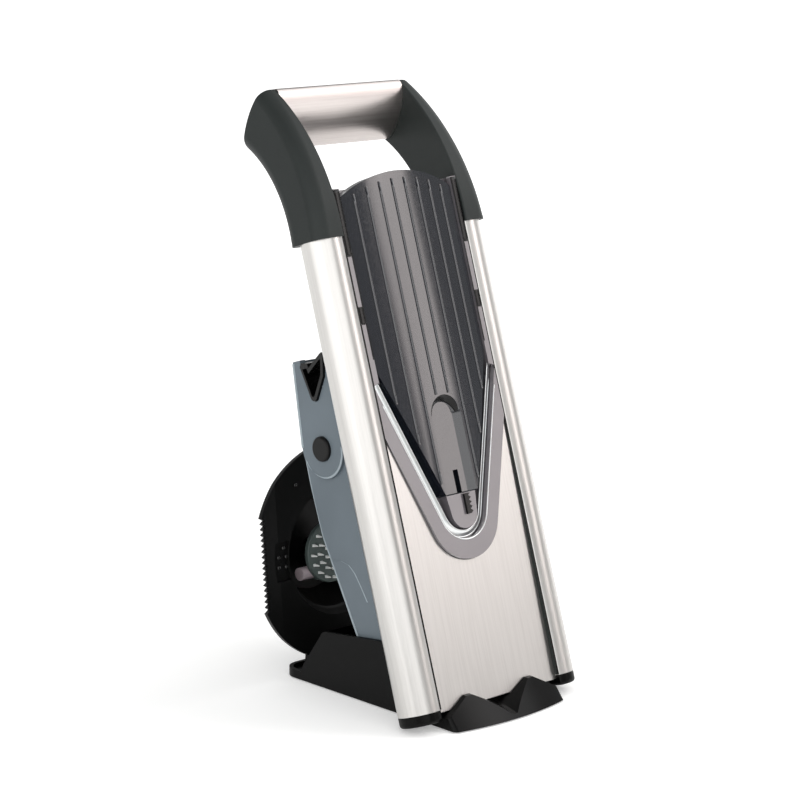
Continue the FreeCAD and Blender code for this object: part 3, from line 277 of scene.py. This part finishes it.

# %% [markdown]
# The stand's plastics. The base is a deep satin black and the box is frosted. A frosted wall could be
# given real translucency, but the stored inserts behind it are black and hardly show, so it has the
# colour that the scattered light gives it, and its rims have a paler one, a painted highlight.

# %% The stand's plastics
# Satin ABS: a deep black with a faint sheen on the slopes that face a lamp.
base_plastic = moulded("satin_black_abs", "#030303", roughness=0.45, grain=0.6, relief=0.1,
                       Specular_IOR_Level=0.05, Coat_Weight=0.15, Coat_Roughness=0.18)
wear("stand_base", "left_rail_cap", "right_rail_cap", finish=base_plastic)
# Frosted polypropylene: an even blue-grey, milky and without highlights.
box_plastic = moulded("frosted_grey_polypropylene", "#636d74", roughness=0.5, grain=0.8, relief=0.15,
                      specks=0.05, Specular_IOR_Level=0.3)
wear("insert_box", finish=box_plastic)
# The same plastic with a painted highlight, paler as an edge looks that lets the gathered light out.
rim_highlight_finish = moulded("frosted_polypropylene_painted_highlight", "#97a2a8", roughness=0.5, grain=0.8, relief=0.1,
                      Specular_IOR_Level=0.3)
# Rubber: dull black that shows no lamp at all.
rubber = moulded("black_rubber", "#080808", roughness=0.8, grain=0.4, relief=0.4, Specular_IOR_Level=0.2)
wear("rubber_feet", finish=rubber)

# %% [markdown]
# The plastics of the holder, the inserts and the joints. Most are black, and differ in how glossy they
# are. The plate, its pins and the rod are pale or tinted, so that they stand out in the holder's mouth.

# %% The holder's and the inserts' plastics
# Satin polypropylene: a waxy black whose shape shows only at its edges.
holder_plastic = moulded("satin_black_polypropylene", "#0a0a0a", roughness=0.4, grain=0.6, relief=0.12,
                         Specular_IOR_Level=0.22)
wear("holder_hat", "plunger_knob", "plunger_shaft", "left_box_button", "right_box_button",
     finish=holder_plastic)
# Glossy polypropylene: a small point of light on each bump.
bump_plastic = moulded("glossy_black_polypropylene", "#1c1c1c", roughness=0.25, grain=0.6, relief=0.02)
# Polished ABS: black with a narrow highlight, and plain black as painted shade in the scoop and the gaps up
# the rails.
black_abs_and_painted_shade = moulded("black_polished_abs_and_painted_shade", "#070707", roughness=0.25, grain=1.5, relief=0.03,
                         Specular_IOR_Level=0.3)
wear("fine_julienne_insert", "coarse_julienne_insert", "depth_rack", finish=black_abs_and_painted_shade)
# Painted reflection on the rails' inner walls: a dark line with a breath of green between two bright steels.
wall_reflection_finish = moulded("painted_wall_reflection", "#141c1b", roughness=0.4, grain=0.6, relief=0.05,
                         Specular_IOR_Level=0.3)
# Tinted ABS: a dark green-grey disc in the black mouth.
plate_plastic = moulded("dark_green_grey_abs", "#56625f", roughness=0.45, grain=0.6, relief=0.1)
wear("pin_plate", finish=plate_plastic)
# White acetal: the pins are pale points.
pin_plastic = moulded("white_acetal", "#f2f4f2", roughness=0.3, grain=0.8, relief=0.02)
wear("holder_pins", finish=pin_plastic)
# Grey acetal: a pale rod with a trace of pink.
rod_plastic = moulded("pale_grey_acetal", "#d9c9cf", roughness=0.4, grain=0.8, relief=0.1)
wear("guide_rod", finish=rod_plastic)

# %% [markdown]
# Small forms that are too fine for solids are built as numpy surfaces: an array of points in rows and
# columns, joined to quads all at once. They could also be curves with a bevel, but points let each
# form be worked out from its formula. Two shapes are enough here. A bead is a small ellipse carried
# along a path, and a dome, further down, is half an ellipsoid.

# %% Beads
ACROSS = (1, 0, 0)
DEEPER = (0, 1, 0)


def bead(path, across, lift, wide, high, sides=10):
    """An ellipse carried along a path: each point is the path's point plus the cosine of the turn times
    the half width along the across vector, plus its sine times the half height along the lift vector."""
    turn = np.linspace(0, 2 * np.pi, sides, endpoint=False)[:, None, None]
    ring = np.cos(turn) * wide * np.asarray(across, float) + np.sin(turn) * high * np.asarray(lift, float)
    return np.moveaxis(np.asarray(path, float)[None] + ring, 0, 1)


def straight(x, depth, low, high, rows=24):
    """A path up the rails, from a low to a high place at one distance across and one depth."""
    height = np.linspace(low, high, rows)
    return np.stack([np.full(rows, x), np.full(rows, depth), height], axis=-1)


print("a bead up the rails has", bead(straight(0, 0, 0, 1), ACROSS, DEEPER, 1, 1).shape[:2], "points")

# %% [markdown]
# A piece is one mesh of one or more closed shells. Each shell's rows of points are joined to quads, and its
# two ends are closed with one face each. Blender could skin the points with a modifier, but here the
# faces follow from the grid. The piece stays at the origin, with its place in its points, and rides on
# the body that carries it.

# %% From points to a piece


def new_piece(name, shells, place, finish, body):
    """Join each shell's rings of points with quads, close its ends, and let the piece ride on a body."""
    points, faces, start = [], [], 0
    for shell in shells:
        rows, columns = shell.shape[:2]
        index = np.arange(rows * columns).reshape(rows, columns) + start
        following = np.roll(index, -1, axis=1)
        sides = np.stack([index[:-1], following[:-1], following[1:], index[1:]], axis=-1)
        faces += sides.reshape(-1, 4).tolist() + [index[0, ::-1].tolist(), index[-1].tolist()]
        points.append(place(shell).reshape(-1, 3))
        start += rows * columns
    mesh = bpy.data.meshes.new(name)
    mesh.from_pydata(np.concatenate(points), [], faces)
    outward = bmesh.new()
    outward.from_mesh(mesh)
    bmesh.ops.recalc_face_normals(outward, faces=outward.faces)
    outward.to_mesh(mesh)
    outward.free()
    mesh.polygons.foreach_set("use_smooth", np.ones(len(mesh.polygons), bool))
    mesh.materials.append(finish)
    piece = bpy.data.objects.new(name, mesh)
    bpy.context.scene.collection.objects.link(piece)
    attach(piece, body)
    print(name, "has", len(mesh.polygons), "faces and rides on", body)


print("pieces so far:", len(nodes), "solids and no added form")

# %% [markdown]
# The runway's ribs are rounded, which draws a thin bright line and a dark one down each rib. The solid's
# ribs are square. Rounding their edges would leave flat tops, so a bead covers each rib instead. Its
# ends follow the solid's: the arch at the top, and the scoop or the slanting lower edge.

# %% Rounded ribs
LEFT_AND_RIGHT = (-1, 1)
RIBS_PER_SIDE = 4
RIB_PITCH = 9.5
RIB_SINK = 0.1
RIB_HALF_WIDTH = 0.75
RIB_HALF_HEIGHT = 0.78
RIB_SIDES = 16
RIB_ABOVE_EDGE = 2.5
RIB_BELOW_ARCH = 4.5
RUNWAY_BOW = 228.0
RUNWAY_CROWN = -1.5
RUNWAY_TOP = 302.5
RUNWAY_ARCH = 83.9
RUNWAY_NOSE = (12.6, 117.0)
RUNWAY_SLOPE = 0.387
SCOOP_TOP = 173.5
ribs = []
for rib in range(RIBS_PER_SIDE):
    out = (rib + 0.5) * RIB_PITCH
    depth = RUNWAY_CROWN + RUNWAY_BOW - math.sqrt(RUNWAY_BOW ** 2 - out ** 2) - RIB_SINK
    edge = RUNWAY_NOSE[1] + (out - RUNWAY_NOSE[0]) / RUNWAY_SLOPE
    low = SCOOP_TOP if rib == 0 else edge + RIB_ABOVE_EDGE
    high = RUNWAY_TOP - RIB_BELOW_ARCH - out ** 2 / (2 * RUNWAY_ARCH)
    ribs += [bead(straight(side * out, depth, low, high), ACROSS, DEEPER,
                  RIB_HALF_WIDTH, RIB_HALF_HEIGHT, RIB_SIDES) for side in LEFT_AND_RIGHT]
new_piece("rounded_ribs", ribs, on_slicer, runway_plastic, "runway")

# %% [markdown]
# The thumb scoop's upper end is undercut and lies in deep shade. That shade is painted: a thin black
# crescent on its sloping wall stands for it, where an undercut could be carved into the solid. It is
# widest at the top of the arc and runs out at both sides.

# %% Scoop shade
SCOOP_CENTRE = 161.5
SCOOP_MIDDLE_RADIUS = 9.65
SCOOP_MIDDLE_DEPTH = 0.45
WALL_OUT, WALL_FORWARD = 0.67, 0.74
SHADE_FROM, SHADE_TO = 4, 176
SHADE_ROWS = 44
SHADE_TIP = 0.2
SHADE_SWELL = 2.5
SHADE_HALF_HEIGHT = 0.25
turn = np.radians(np.linspace(SHADE_FROM, SHADE_TO, SHADE_ROWS))[:, None]
outwards = np.concatenate([np.cos(turn), np.zeros_like(turn), np.sin(turn)], axis=1)
arc = outwards * SCOOP_MIDDLE_RADIUS + (0, SCOOP_MIDDLE_DEPTH, SCOOP_CENTRE)
slope = outwards * WALL_OUT + np.array((0, -WALL_FORWARD, 0))
normal = outwards * WALL_FORWARD + np.array((0, WALL_OUT, 0))
half_width = SHADE_TIP + SHADE_SWELL * np.sqrt(np.sin(turn))
# The crescent is painted shade, black under any light.
shade = bead(arc, slope, normal, half_width, SHADE_HALF_HEIGHT)
new_piece("scoop_shade", [shade], on_slicer, black_abs_and_painted_shade, "runway")

# %% [markdown]
# The V blade is a bent steel band with a ground edge inside and a rounded edge outside. Both catch the
# light as thin bright lines, and so does the rim of the frame beside it. The path is the band's middle
# line: a slanting straight arm, an arc round the nose and the other arm. A rounded edge of the real size
# would be thinner than a pixel, so a bead runs along each line, on the band's sloping front.

# %% Blade edges
BLADE_ANGLE = math.radians(20.3)
BLADE_BEND = 15.4
BLADE_BEND_HEIGHT = 109.0
BLADE_END = 43.5
BLADE_HALF = 1.9
BLADE_FRONT = 2.6
BLADE_RISE = 2.0
OUTER_EDGE_INSET = 0.3
RIM_OFFSET = 3.1
RIM_DEPTH = 0.95
EDGE_HALF_WIDTH = 0.36
EDGE_HALF_HEIGHT = 0.3


def blade_line(offset, rows=30):
    """Points and outward directions of the V, at an offset out from its middle line. On the arc both
    follow the angle round the bend's centre, and on the arms they run straight on from its ends."""
    turn = np.linspace(-math.pi + BLADE_ANGLE, -BLADE_ANGLE, rows)
    out = np.stack([np.cos(turn), np.sin(turn)], axis=-1)
    arc = out * (BLADE_BEND + offset) + (0, BLADE_BEND_HEIGHT)
    reach = np.linspace(0, (BLADE_END - abs(arc[0, 0])) / math.sin(BLADE_ANGLE), rows)[1:, None]
    left = arc[0] + reach * (-math.sin(BLADE_ANGLE), math.cos(BLADE_ANGLE))
    right = arc[-1] + reach * (math.sin(BLADE_ANGLE), math.cos(BLADE_ANGLE))
    flat = np.concatenate([left[::-1], arc, right])
    ways = np.concatenate([np.repeat(out[:1], rows - 1, 0), out, np.repeat(out[-1:], rows - 1, 0)])
    depth = np.full(len(flat), BLADE_FRONT + BLADE_RISE * (offset + BLADE_HALF) / (2 * BLADE_HALF))
    return (np.stack([flat[:, 0], depth, flat[:, 1]], axis=-1),
            np.stack([ways[:, 0], np.zeros(len(ways)), ways[:, 1]], axis=-1))


edges = []
for offset in (-BLADE_HALF, BLADE_HALF - OUTER_EDGE_INSET, RIM_OFFSET):
    line, outwards = blade_line(offset)
    if offset == RIM_OFFSET:
        line[:, 1] = RIM_DEPTH
    edges.append(bead(line, outwards, DEEPER, EDGE_HALF_WIDTH, EDGE_HALF_HEIGHT))
new_piece("blade_edges", edges, on_slicer, blade_steel, "slicer")

# %% [markdown]
# Dark lines up the rails. A dark green-grey strip on each rail's inner wall is a painted reflection, and a
# thin black bead in the corner where the sheet and the blade frame meet the rail is painted shade, so a
# dark line runs up both sides. The guide strips have a dark gap beside the runway, and two black patches
# each. A gap left open would show whatever lies behind it, so each is filled with a bead of painted shade.

# %% Painted wall reflections, corner and gap shade, and black patches
JOINT_FOOT = 2.5
RAIL_WALL = 46.8
WALL_REFLECTION_DEPTH = 3.0
WALL_REFLECTION_TOP = 150
WALL_REFLECTION_HALVES = (0.35, 1.9)
CORNER_SHADE_DEPTH = 1.3
SHADE_LINE_TOP = 262.0
CORNER_SHADE_HALVES = (0.5, 0.5)
GAP_PLACE = 43.05
GAP_DEPTH = 0.95
GAP_FOOT = 199
GAP_HALVES = (0.4, 0.2)
BLACK_PATCH_PLACE = 44.9
BLACK_PATCH_DEPTH = 1.0
BLACK_PATCH_SPANS = [(219.5, 229), (257.5, 295.5)]
BLACK_PATCH_HALVES = (2.2, 0.3)
shade_lines_and_patches, wall_reflections = [], []
for side in LEFT_AND_RIGHT:
    wall = straight(side * RAIL_WALL, WALL_REFLECTION_DEPTH, JOINT_FOOT, WALL_REFLECTION_TOP)
    corner = straight(side * RAIL_WALL, CORNER_SHADE_DEPTH, JOINT_FOOT, SHADE_LINE_TOP)
    gap = straight(side * GAP_PLACE, GAP_DEPTH, GAP_FOOT, SHADE_LINE_TOP)
    black_patches = [straight(side * BLACK_PATCH_PLACE, BLACK_PATCH_DEPTH, low, high) for low, high in BLACK_PATCH_SPANS]
    # The green-grey wall strip is a painted reflection; the black corner and gap beads are painted shade.
    wall_reflections.append(bead(wall, ACROSS, DEEPER, *WALL_REFLECTION_HALVES))
    shade_lines_and_patches.append(bead(corner, ACROSS, DEEPER, *CORNER_SHADE_HALVES))
    shade_lines_and_patches.append(bead(gap, ACROSS, DEEPER, *GAP_HALVES))
    shade_lines_and_patches += [bead(black_patch, ACROSS, DEEPER, *BLACK_PATCH_HALVES) for black_patch in black_patches]
new_piece("shade_lines_and_black_patches", shade_lines_and_patches, on_slicer, black_abs_and_painted_shade, "slicer")
new_piece("rail_wall_reflections", wall_reflections, on_slicer, wall_reflection_finish, "slicer")

# %% [markdown]
# The box's moulding has a rounded rim down its rear edge, a lip round the lower half of the button's
# ear, and a raised line low on each side. Thick edges of a frosted plastic gather light, so they look
# paler than the wall. One material could fake that with its shape's angle to the eye, but that would
# move with the camera, so the rims are beads with a paler finish: a painted highlight.

# %% Box rims and lines
BOX_HALF = 41.0
EAR_OUT = 43.0
BUTTON_CENTRE = np.array((60.0, 156.8))
EAR_LIP_RADIUS = 16.7
EAR_LIP_FROM, EAR_LIP_TO = 185, 345
EAR_LIP_ROWS = 30
REAR_EDGE = [(63, 27), (79.2, 108), (80.3, 136), (80, 162), (73.7, 208)]
EAR_EDGE = [(77, 160), (70.2, 208)]
RAISED_LINE = [(74.8, 93.5), (66.5, 92), (60.4, 89), (56.6, 83.5), (53.6, 75.2), (50.9, 66.3)]
REAR_INSET = 1
REAR_FORWARD = (0, 0.9, 0)
REAR_HALVES = (0.8, 0.8)
EAR_HALVES = (0.3, 0.9)
LIP_HALVES = (0.3, 0.8)
LIP_LIFT = (0, 0.7, 0.7)
LINE_HALVES = (0.25, 0.45)
LINE_LIFT = (0, 1, 0.2)


def through(points, x, rows=40):
    """A path on a side face at one distance across, straight between points of depth and height and
    sampled evenly along its length."""
    corners = np.asarray(points, float)
    length = np.concatenate([[0], np.cumsum(np.linalg.norm(np.diff(corners, axis=0), axis=1))])
    at = np.linspace(0, length[-1], rows)
    return np.stack([np.full(rows, x), *(np.interp(at, length, corners[:, i]) for i in (0, 1))], axis=-1)


turn = np.radians(np.linspace(EAR_LIP_FROM, EAR_LIP_TO, EAR_LIP_ROWS))
ear_lip = BUTTON_CENTRE + EAR_LIP_RADIUS * np.stack([np.cos(turn), np.sin(turn)], axis=-1)
rims = []
for side in LEFT_AND_RIGHT:
    rear = through(REAR_EDGE, side * (BOX_HALF - REAR_INSET)) - REAR_FORWARD
    rims.append(bead(rear, ACROSS, DEEPER, *REAR_HALVES))
    rims.append(bead(through(EAR_EDGE, side * EAR_OUT), ACROSS, DEEPER, *EAR_HALVES))
    rims.append(bead(through(ear_lip, side * EAR_OUT), ACROSS, LIP_LIFT, *LIP_HALVES))
    rims.append(bead(through(RAISED_LINE, side * BOX_HALF), ACROSS, LINE_LIFT, *LINE_HALVES))
# The rims' paler finish is a painted highlight.
new_piece("box_rims", rims, on_slicer, rim_highlight_finish, "stand")

# %% [markdown]
# The food holder has bumps in its two grip recesses, so that wet fingers don't slip, and a pip near the
# top of each half of its brim. Each is a small dome on the moulding's front. A bump map would shade them
# but leave the brim flat from the side, so the domes are real.

# %% Holder bumps
RECESS_FLOOR = -0.3
BRIM_FRONT = -1.3
BUMPS = [(46.4, 2.7), (40.4, 2.5), (46.6, -3.3), (40.8, -3.6), (42.3, 7.9)]
BUMP_RADIUS, BUMP_HEIGHT = 1.3, 0.9
PIP = (30.8, 43.7)
PIP_RADIUS, PIP_HEIGHT = 1.2, 0.8
DOME_TOP = math.radians(86)


def dome(centre, radius, height, rows=7, sides=18):
    """Half an ellipsoid that faces the front: the radius times the cosine of the latitude round its
    centre, and the height times its sine towards the front."""
    latitude = np.linspace(0, DOME_TOP, rows)[:, None]
    turn = np.linspace(0, 2 * np.pi, sides, endpoint=False)[None]
    x = centre[0] + radius * np.cos(latitude) * np.cos(turn)
    z = centre[2] + radius * np.cos(latitude) * np.sin(turn)
    y = np.broadcast_to(centre[1] - height * np.sin(latitude), x.shape)
    return np.stack([x, y, z], axis=-1)


bumps = []
for side in LEFT_AND_RIGHT:
    bumps += [dome((side * x, RECESS_FLOOR, z), BUMP_RADIUS, BUMP_HEIGHT) for x, z in BUMPS]
    bumps.append(dome((side * PIP[0], BRIM_FRONT, PIP[1]), PIP_RADIUS, PIP_HEIGHT))
new_piece("holder_bumps", bumps, on_holder, bump_plastic, "food_holder")

# %% [markdown]
# The table. The ground stays plain white up to the top of the view, so the floor is a sheet of opal
# acrylic with a painted glow: light of its own that no lamp gives. An even glow would drown the steel
# near it, so it is dim beside the object and grows with the distance, where the lamps don't reach.

# %% Table
TABLE_HALF = 60.0
DIM_WITHIN, FULL_BEYOND = 0.4, 2.5
DIM_GLOW, FULL_GLOW = 0.32, 1.0
# Opal acrylic with a painted glow: plain white, soft contact shadows and hardly any reflection.
table_finish, tree, shader = new_finish("opal_acrylic_painted_glow", Base_Color=linear("#f2f2f1"), Roughness=0.7,
                                        Specular_IOR_Level=0.1, Emission_Color=linear("#ffffff"))
where = add(tree, "ShaderNodeTexCoord")
away = add(tree, "ShaderNodeVectorMath", {"Vector": where.outputs["Object"]}, operation="LENGTH")
glow = add(tree, "ShaderNodeMapRange", {"Value": away.outputs["Value"],
                                        "From Min": DIM_WITHIN, "From Max": FULL_BEYOND,
                                        "To Min": DIM_GLOW, "To Max": FULL_GLOW},
           interpolation_type="SMOOTHSTEP")
tree.links.new(glow.outputs["Result"], shader.inputs["Emission Strength"])
table_mesh = bpy.data.meshes.new("table")
corners = np.array([(-1, -1, 0), (1, -1, 0), (1, 1, 0), (-1, 1, 0)]) * TABLE_HALF
table_mesh.from_pydata(corners, [], [(0, 1, 2, 3)])
table_mesh.materials.append(table_finish)
table = bpy.data.objects.new("table", table_mesh)
bpy.context.scene.collection.objects.link(table)
print(table_finish.name, "on a table of", 2 * TABLE_HALF, "m")

# %% [markdown]
# The light. Steel shows what stands round it, so each soft box is placed where some face mirrors it. The
# brightness of its picture in the steel is set, and the power follows from that. One dome of light would
# be simpler, but then every steel face would have the same grey.

# %% Soft boxes
LIT_MIDDLE = Vector((0, 0, 0.17))


def soft_box(name, azimuth, elevation, distance, width, height, radiance, colour="#ffffff"):
    """An area light aimed at the object's middle. Azimuth is in degrees from the front to the right. Its
    power is pi times its area times the radiance, which is how bright it looks in a mirror."""
    turn, rise = math.radians(azimuth), math.radians(elevation)
    way = Vector((math.sin(turn) * math.cos(rise), -math.cos(turn) * math.cos(rise), math.sin(rise)))
    light = bpy.data.lights.new(name, "AREA")
    light.shape = "RECTANGLE"
    light.size = width
    light.size_y = height
    light.color = linear(colour)[:3]
    light.energy = math.pi * width * height * radiance
    lamp = bpy.data.objects.new(name, light)
    lamp.location = LIT_MIDDLE + way * distance
    lamp.rotation_euler = (-way).to_track_quat("-Z", "Y").to_euler()
    bpy.context.scene.collection.objects.link(lamp)
    print(name, round(light.energy, 1), "W")


# A narrow one, which the panel and the middle of the runway mirror.
soft_box("right_front_box", azimuth=41, elevation=24, distance=2.0, width=0.55, height=1.3,
         radiance=2.65, colour="#fff6f4")
# Two above it, which the curve of the grip mirrors.
soft_box("right_upper_box", azimuth=52, elevation=34, distance=2.0, width=0.8, height=0.5, radiance=1.6)
soft_box("right_high_box", azimuth=68, elevation=43, distance=2.0, width=2.2, height=1.2, radiance=1.4)
# A broad one above the camera and one at each side, which the rails' rounds mirror.
soft_box("camera_box", azimuth=-33, elevation=26, distance=2.2, width=3.2, height=1.7, radiance=1.45)
soft_box("left_box", azimuth=-88, elevation=18, distance=2.0, width=1.7, height=1.4, radiance=1.45)
soft_box("right_box", azimuth=98, elevation=18, distance=2.0, width=1.5, height=1.4, radiance=1.1)
# A dim one behind, for views from the back, and one overhead for the shadows on the table.
soft_box("back_box", azimuth=180, elevation=25, distance=2.4, width=2.6, height=1.2, radiance=0.6)
soft_box("overhead_box", azimuth=0, elevation=84, distance=2.0, width=2.0, height=2.0, radiance=0.75)

# %% [markdown]
# The room. White walls far away give a little light from all sides, so that no corner is fully black.
# Walls could be built, but an even background does the same.

# %% Room
WORLD_STRENGTH = 0.3
world = bpy.data.worlds.new("studio")
bpy.context.scene.world = world
world.use_nodes = True
background = world.node_tree.nodes["Background"]
background.inputs["Color"].default_value = linear("#ffffff")
background.inputs["Strength"].default_value = WORLD_STRENGTH
print("the room's walls have a radiance of", WORLD_STRENGTH)

# %% [markdown]
# The camera stands where the picture was taken from: 43 degrees to the left of the front, 12 degrees
# above it, with a long lens. It could be placed by eye, but the values were fitted to the rails, the
# panel and the base in the picture, so that the outlines agree.

# %% Camera
PHOTO_PIXELS = 800
FOCAL_PIXELS = 2608.474
SENSOR_WIDTH = 36
FARTHEST = 60
AZIMUTH = math.radians(-42.818)
ELEVATION = math.radians(11.659)
CAMERA_PLACE = Vector((-996.899, -984.773 - FRONT_OFFSET, 470.759)) * MM
forward = Vector((-math.sin(AZIMUTH) * math.cos(ELEVATION), math.cos(AZIMUTH) * math.cos(ELEVATION),
                  -math.sin(ELEVATION)))
lens = bpy.data.cameras.new("long_lens")
lens.sensor_width = SENSOR_WIDTH
lens.lens = SENSOR_WIDTH * FOCAL_PIXELS / PHOTO_PIXELS
lens.clip_end = FARTHEST
camera = bpy.data.objects.new("camera", lens)
camera.location = CAMERA_PLACE
camera.rotation_euler = forward.to_track_quat("-Z", "Y").to_euler()
bpy.context.scene.collection.objects.link(camera)
bpy.context.scene.camera = camera
bpy.context.scene.view_settings.view_transform = "Standard"
print("camera at", [round(x, 3) for x in CAMERA_PLACE], "lens", round(lens.lens, 1), "mm")
